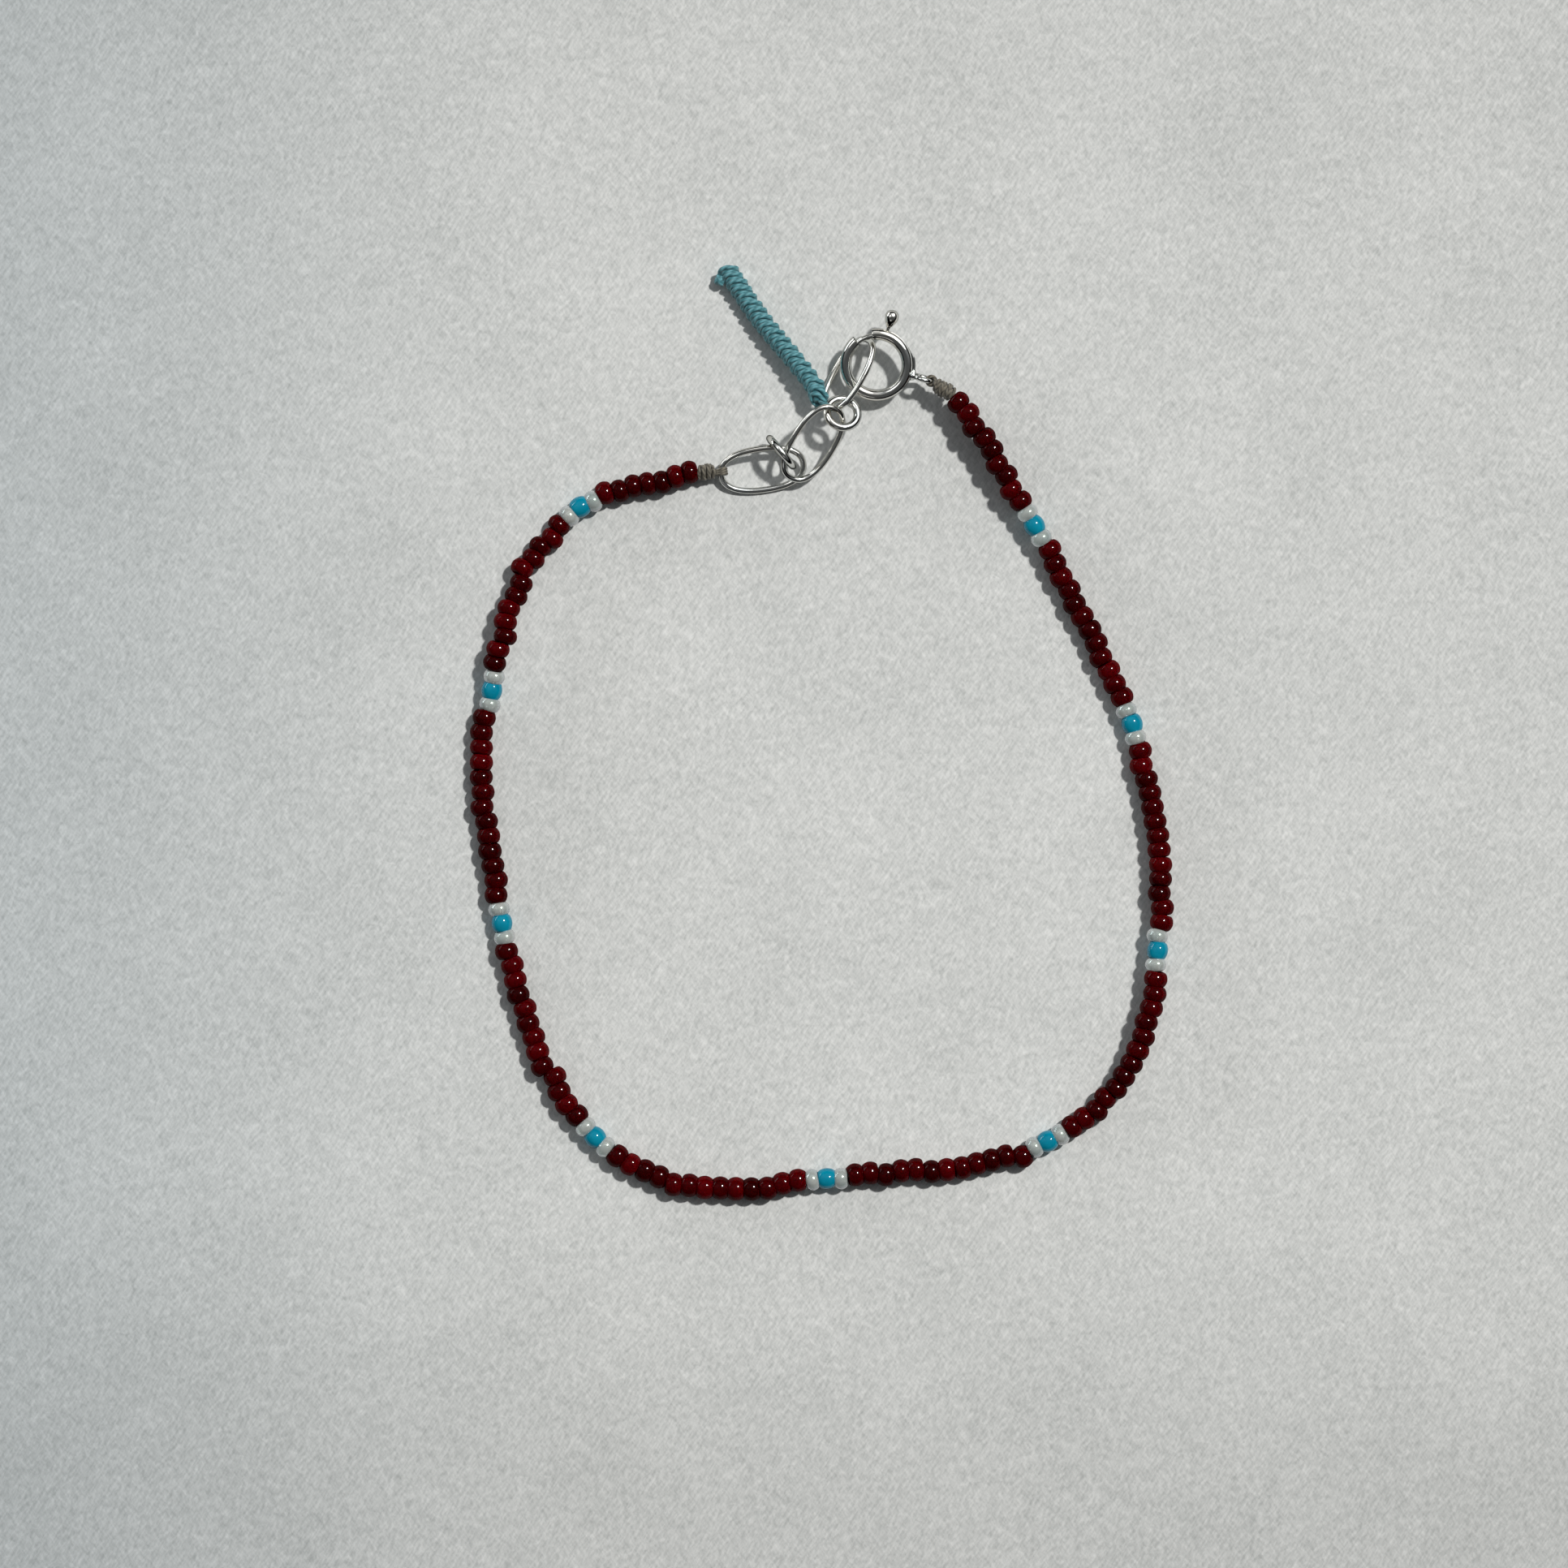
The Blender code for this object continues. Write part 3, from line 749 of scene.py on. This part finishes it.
def makeBolt(d):
    bm = bmesh.new()
    start, end = d["ends"]
    ringSection(bm, d["radius"], d["distance"], d["sides"], start)
    bmesh.ops.spin(bm, geom=bm.verts[:] + bm.edges[:], cent=(0, 0, 0), axis=(0, 0, 1),
                   angle=math.radians(end - start), steps=d["steps"])
    bmesh.ops.holes_fill(bm, edges=[e for e in bm.edges if e.is_boundary], sides=0)
    rims = {e for f in bm.faces if len(f.verts) > 4 for e in f.edges}
    bmesh.ops.bevel(bm, geom=list(rims), offset=d["edge"], segments=3,
                    profile=0.5, affect="EDGES", material=-1)
    knob = bmesh.new()
    outline = smoothRoute([(z, 0, radius) for radius, z in d["knob"]], 4)[0][1:-1]
    line = [knob.verts.new(p) for p in outline]
    for pair in zip(line, line[1:]):
        knob.edges.new(pair)
    bmesh.ops.spin(knob, geom=knob.verts[:] + knob.edges[:], cent=(0, 0, 0), axis=(1, 0, 0),
                   angle=2 * math.pi, steps=d["knobSteps"], use_merge=True)
    bmesh.ops.remove_doubles(knob, verts=knob.verts, dist=1e-4)
    bmesh.ops.transform(knob, matrix=Matrix.Rotation(math.radians(d["trigger"]), 4, "Z"),
                        verts=knob.verts)
    joinInto(bm, knob)
    bmesh.ops.recalc_face_normals(bm, faces=bm.faces)
    bmesh.ops.transform(bm, matrix=ringPlace, verts=bm.verts)
    finishPiece("silver_bolt", bm, "silver", ["spring_bolt"], body="bolt")


makeSpringRing(springRing)
makeLoop(springRing)
makeSolder(springRing, solder)
makeBolt(bolt)
print("spring ring made")


# thread knots at the two ends of the string

knots = {
    "strand": 0.15,
    "barrel": (  # share of the way to the eye, and radius
        (0.0, 0.36), (0.15, 0.46), (0.4, 0.50), (0.65, 0.46), (0.9, 0.32), (1.0, 0.20)),
    "barrelSides": 14,
    "turns": 3.5,
    "windings": ((1, 0.4), (-1, 2.2)),  # two strands, wound opposite ways, cross over each other
    "wobble": (0.55, 0.35),
    "from": 0.03,
    "span": 0.90,
    "steps": 71,
    "eyeStrand": 0.14,
    "eyeTurns": (-1.3, 0.0, 1.3),
    "eyeSpacing": 0.13,
    "eyeSteps": 32,
    "tuck": 0.06,  # the share of the way at which a barrel starts
}
leftKnot = {
    "eye": (-8.27, 21.46, 0.97),  # where it is tied to link_1
    "pull": 0.40,  # how far its barrel stays from the eye's middle
    "eyeRadius": 0.47,
    "eyeTurn": (90, 0, 8),
}
rightKnot = {
    "distance": 4.68,  # of its eye from the ring's axis
    "pull": 0.26,
    "eyeRadius": 0.36,
    "eyeTurn": (0, 0, 0),
}


def frameOf(axis):
    # two directions across an axis, one level and one upwards
    side = axis.cross(Vector((0, 0, 1))).normalized()
    return side, side.cross(axis).normalized()


def barrelRadius(stops, share):
    for (a, ra), (b, rb) in zip(stops, stops[1:]):
        if share <= b:
            return ra + (rb - ra) * (share - a) / (b - a)
    return stops[-1][1]


def makeKnot(name, node, end, eye, own, d=knots):
    # a wound barrel from the string's end to the eye, and the eye round the wire
    touch = eye - (eye - end).normalized() * own["pull"]
    start = end.lerp(touch, d["tuck"])
    bm = bmesh.new()
    side, up = frameOf(touch - start)
    core = [start.lerp(touch, share) for share, _ in d["barrel"]]
    tubeInto(bm, core, [radius for _, radius in d["barrel"]], d["barrelSides"])
    strand = d["strand"]
    usual, swing = d["wobble"]
    for hand, first in d["windings"]:
        points = []
        for k in range(d["steps"] + 1):
            share = d["from"] + d["span"] * k / d["steps"]
            angle = first + hand * 2 * math.pi * d["turns"] * share
            wobble = strand * (usual + swing * math.sin(angle * 1.3 + first))
            out = barrelRadius(d["barrel"], share) + wobble
            points.append(start.lerp(touch, share) + side * math.cos(angle) * out
                          + up * math.sin(angle) * out)
        tubeInto(bm, points, [strand * (0.9 + 0.1 * math.sin(k)) for k in range(len(points))])
    for offset in d["eyeTurns"]:  # the thread goes round the wire as often
        points = []
        for k in range(d["eyeSteps"]):
            a = 2 * math.pi * k / d["eyeSteps"]
            local = Vector((math.cos(a) * own["eyeRadius"], math.sin(a) * own["eyeRadius"],
                            offset * d["eyeSpacing"] * (1 + 0.2 * math.cos(a))))
            points.append(eulerTurn(*own["eyeTurn"]) @ local + eye)
        tubeInto(bm, points, [d["eyeStrand"]] * len(points), closed=True)
    bmesh.ops.recalc_face_normals(bm, faces=bm.faces)
    finishPiece(name, bm, "grey_thread", [node])


leftEnd = stringAt(-string["pitches"][0] / 2 * stretch)
makeKnot("left_thread_knot", "left_knot", leftEnd, Vector(leftKnot["eye"]), leftKnot)
rightEnd = stringAt(routeLength + string["pitches"][-1] / 2 * stretch)
loopEye = Vector(springRing["centre"]) + aroundRing(rightKnot["distance"], loopTurn)
makeKnot("right_thread_knot", "right_knot", rightEnd, loopEye, rightKnot)
print("knots tied")


# knotted thread dangle

dangle = {
    "route": (
        (-7.83, 38.17, 0.82), (-6.33, 35.87, 0.82), (-4.73, 33.60, 1.00), (-2.53, 30.93, 1.40),
        (-0.53, 28.33, 1.90), (-0.30, 27.20, 2.25)),
    "core": 0.55,
    "coreSteps": 60,
    "coreSides": 12,
    "coreTips": (0.5, 0.6),  # the shares of the core's radius at its two ends
    "slim": (0.4, 0.06),  # from this share of its length on it gets slimmer, by this much
    "knots": 17,
    "crowding": 0.2,  # how much closer the knots lie at the free end
    "strands": 2,
    "strand": 0.17,
    "crest": 0.85,
    "uneven": 0.02,
    "lean": 20.0,
    "leanChance": (4, 5),  # of the strands round the bar, and of the one across them
    "under": 0.12,  # how much lower each further strand lies
    "bow": -0.42,
    "across": (118, 222, 8, 0.12, -0.2),  # from, to, how uneven, how high and how bowed
    "tie": ((-0.34, 27.3, 2.22), (0.52, 26.70, 2.83), (-0.43, -0.81, 0.40)),  # from, round, along
    "tieRadius": 0.44,
    "tieStrand": 0.10,
    "tieTurn": (-125, 12.5, 21),  # first angle, step and number of points
    "ends": (((-7.64, 37.86, 0.80), 0.50), ((-8.30, 37.22, 0.70), 0.46)),  # two small end knots
    "seed": 3,
}


def hitch(bm, d, middle, axis, radius, lean, bow, first=0.0, last=360.0, lift=0.0):
    # one strand's way round the bar, or a part of it from first to last, leaning along it
    side, up = frameOf(axis)
    slope = math.tan(math.radians(lean))
    whole = last - first >= 360.0
    steps = 28 if whole else max(8, int((last - first) / 14))
    ring = []
    for j in range(steps + (0 if whole else 1)):
        share = j / steps
        a = math.radians(first + (last - first) * share)
        out = radius + (0.0 if whole else lift * math.sin(math.pi * share))
        ring.append(middle + (side * math.cos(a) + up * math.sin(a)) * out
                    + axis * (bow * math.sin(a) - slope * math.cos(a) * radius))
    lowest = d["strand"] + 0.01  # the strands lie on the paper, not in it
    ring = [Vector((p.x, p.y, max(p.z, lowest))) for p in ring]
    thin = [d["strand"]] * len(ring)
    if not whole:  # a strand that goes part of the way dives under at both ends
        thin = [d["strand"] * (0.35 + 0.65 * min(1.0, 4 * min(j, steps - j) / steps))
                for j in range(len(ring))]
    tubeInto(bm, ring, thin, closed=whole)


def tieInto(bm, d):
    # the thread goes on past the last knot and once round the small ring's wire
    end, wire, along = [Vector(v) for v in d["tie"]]
    out = wire - end
    out = (out - along.normalized() * out.dot(along.normalized())).normalized()
    over = out.cross(along).normalized()
    start, step, count = d["tieTurn"]
    angles = [math.radians(start + step * k) for k in range(count)]
    turn = [wire + (out * math.cos(a) + over * math.sin(a)) * d["tieRadius"] for a in angles]
    points = ([end.lerp(turn[0], k / 6) for k in range(6)] + turn
              + [turn[-1].lerp(end, k / 6) for k in range(1, 6)])
    tubeInto(bm, points, [d["tieStrand"]] * len(points))


def makeDangle(d):
    chance = random.Random(d["seed"])
    bar = smoothRoute(d["route"])
    length = bar[1][-2]

    def slimAt(s):
        slimFrom, slimmer = d["slim"]
        return 1.0 - slimmer * max(0.0, (s / length - slimFrom) / (1 - slimFrom))

    bm = bmesh.new()
    points, radii = [], []
    for k in range(d["coreSteps"] + 1):
        share = k / d["coreSteps"]
        tips = min(1.0, d["coreTips"][0] + share * 8, d["coreTips"][1] + (1 - share) * 8)
        points.append(atLength(bar, length * share))
        radii.append(d["core"] * slimAt(length * share) * tips)
    tubeInto(bm, points, radii, d["coreSides"])
    crowd = d["crowding"]
    aroundLean, acrossLean = d["leanChance"]
    start, stop, ragged, lift, bow = d["across"]
    for k in range(d["knots"]):
        share = (k + 0.5) / d["knots"]
        s = length * ((1 - crowd) * share + crowd * share * share)
        pitch = length / d["knots"] * (1 - crowd + 2 * crowd * share)
        axis = (atLength(bar, s + 0.3) - atLength(bar, s - 0.3)).normalized()
        radius = ((d["crest"] - d["strand"]) * slimAt(s)
                  + chance.uniform(-d["uneven"], d["uneven"]))
        for n in range(d["strands"]):
            place = s + pitch * ((n + 0.5) / d["strands"] - 0.5) * 0.85 + 0.2
            lean = d["lean"] + chance.uniform(-aroundLean, aroundLean) + 8 * n
            hitch(bm, d, atLength(bar, place), axis, radius - d["under"] * n, lean,
                  d["bow"] + d["under"] * n)
        lean = d["lean"] + chance.uniform(-acrossLean, acrossLean)
        begin = start + chance.uniform(-ragged, ragged)
        hitch(bm, d, atLength(bar, s - 0.1 * pitch), axis, radius - 0.02, lean, bow,
              begin, stop + chance.uniform(-ragged, ragged), lift)
    tieInto(bm, d)
    for centre, radius in d["ends"]:
        ball = bmesh.new()
        bmesh.ops.create_icosphere(ball, subdivisions=3, radius=radius,
                                   matrix=Matrix.Translation(Vector(centre)))
        joinInto(bm, ball)
        for n in range(3):  # three turns round it, each another way
            axis = Vector((math.sin(n * 2.1 + 0.4), -0.8, 0.5 * math.cos(n * 1.7))).normalized()
            hitch(bm, d, Vector(centre), axis, radius - 0.08, 10.0 * n, 0.0)
    bmesh.ops.recalc_face_normals(bm, faces=bm.faces)
    finishPiece("teal_dangle", bm, "teal_thread", ["thread_dangle"])


makeDangle(dangle)
print("dangle knotted")


# paper, light and surroundings

studio = {
    "sunAzimuth": 42.0,
    "sunElevation": 55.5,
    "sunSpread": 4.0,
    "sunStrength": 2.45,
    "sunColour": (1.0, 0.985, 0.95),
    "paperSize": 1.6,  # in metres
    "mirroring": ("silver_", "red_beads_"),  # how the names of the pieces start that mirror cards
    "cards": {  # azimuth, elevation, distance, width, height, brightness, and who mirrors it
        "card_sun": (50.0, 47.0, 600.0, 560.0, 620.0, 1.3, "silver_"),
        "card_north": (98.0, 46.0, 700.0, 260.0, 200.0, 0.8, "silver_"),
        "card_window": (150.0, 56.0, 700.0, 330.0, 200.0, 1.8, "silver_"),
        "card_low": (250.0, 38.0, 700.0, 260.0, 90.0, 0.7, "silver_"),
        "card_over": (100.0, 78.0, 700.0, 260.0, 120.0, 0.35, "silver_"),
        "card_glint": (42.0, 55.5, 700.0, 100.0, 100.0, 560.0, "red_beads_"),
    },
}


def makePaper(s):
    bm = bmesh.new()
    bmesh.ops.create_grid(bm, x_segments=2, y_segments=2, size=s["paperSize"])
    mesh = bpy.data.meshes.new("paper")
    bm.to_mesh(mesh)
    bm.free()
    mesh.materials.append(finishes["paper"])
    paper = bpy.data.objects.new("paper", mesh)
    bpy.context.scene.collection.objects.link(paper)
    paper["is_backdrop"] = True


def direction(azimuth, elevation):
    a, e = math.radians(azimuth), math.radians(elevation)
    return Vector((math.cos(e) * math.cos(a), math.cos(e) * math.sin(a), math.sin(e)))


def facingBack(azimuth, elevation):
    return math.radians(90 - elevation), 0, math.radians(90 + azimuth)


def makeSun(s):
    data = bpy.data.lights.new("sun", "SUN")
    data.energy = s["sunStrength"]
    data.angle = math.radians(s["sunSpread"])
    data.color = s["sunColour"]
    sun = bpy.data.objects.new("sun", data)
    sun.rotation_euler = facingBack(s["sunAzimuth"], s["sunElevation"])
    bpy.context.scene.collection.objects.link(sun)


def makeCards(s):
    # bright cards, each of which only one kind of piece mirrors
    mirrors = {}
    for kind in s["mirroring"]:
        mirrors[kind] = bpy.data.collections.new(kind + "only")
        bpy.context.scene.collection.children.link(mirrors[kind])
        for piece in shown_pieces():
            if piece.name.startswith(kind):
                mirrors[kind].objects.link(piece)
    for name, (azimuth, elevation, distance, width, height, bright, kind) in s["cards"].items():
        data = bpy.data.lights.new(name, "AREA")
        data.shape = "ELLIPSE"
        data.size, data.size_y = width * mm, height * mm
        data.energy = bright * math.pi * math.pi / 4 * width * height * mm * mm
        card = bpy.data.objects.new(name, data)
        card.location = direction(azimuth, elevation) * distance * mm
        card.rotation_euler = facingBack(azimuth, elevation)
        card.visible_camera = card.visible_diffuse = card.visible_transmission = False
        bpy.context.scene.collection.objects.link(card)
        card.light_linking.receiver_collection = mirrors[kind]


room = {
    # round patches: azimuth, elevation, radius and soft edge, in degrees
    "window": (146.0, 11.0, 15.0, 8.0),
    "lamp": (150.0, 50.0, 4.0, 5.0),
    "darkPatch": (270.0, 84.0, 6.0, 8.0),
    # smooth steps upwards, or towards the picture's top: from, to, and the values before
    # and after
    "ceilingHeight": (0.35, 0.62, 0.0, 0.16),
    "ceilingTop": (-0.40, 0.22, 0.5, 1.55),
    "skyHeight": (0.50, 0.70, 0.0, 1.0),
    "skyTop": (0.0, 0.5, 0.0, 0.10),
    "sill": (0.10, 0.15, 0.0, 1.0),
    "lintel": (0.20, 0.28, 8.0, 0.0),  # with the window's brightness
    "lampShare": 0.5,
    "darkShare": 0.5,
    "colour": (0.95, 0.98, 1.0, 1.0),
}


def makeRoom(r):
    # what the silver and the glass mirror, and the paper's soft light
    world = bpy.data.worlds.new("room")
    bpy.context.scene.world = world
    f = Finish("room", world)
    looking = f.node("ShaderNodeTexCoord", out="Generated")

    def patch(azimuth, elevation, wide, soft):
        # how far the look lies in a round patch of the room, 1 in its middle
        towards = direction(azimuth, elevation)
        near = f.node("ShaderNodeVectorMath", {"operation": "DOT_PRODUCT"},
                      {0: looking, 1: towards}, "Value")
        outer, inner = math.cos(math.radians(wide + soft)), math.cos(math.radians(wide))
        return f.spread(near, outer, inner, 0.0, 1.0)

    height, top = f.axis(looking, 2), f.axis(looking, 1)
    ceiling = f.spread(height, *r["ceilingHeight"]) * f.spread(top, *r["ceilingTop"])
    sky = f.spread(height, *r["skyHeight"]) * f.spread(top, *r["skyTop"])
    window = patch(*r["window"]) * f.spread(height, *r["sill"]) * f.spread(height, *r["lintel"])
    lamp = patch(*r["lamp"]) * r["lampShare"]
    above = 1.0 - patch(*r["darkPatch"]) * r["darkShare"]
    light = (ceiling + sky + window + lamp) * above
    background = f.tree.nodes["Background"]
    f.tree.links.new(light.socket, background.inputs["Strength"])
    background.inputs["Color"].default_value = r["colour"]


makePaper(studio)
makeSun(studio)
makeCards(studio)
makeRoom(room)
print("light set")
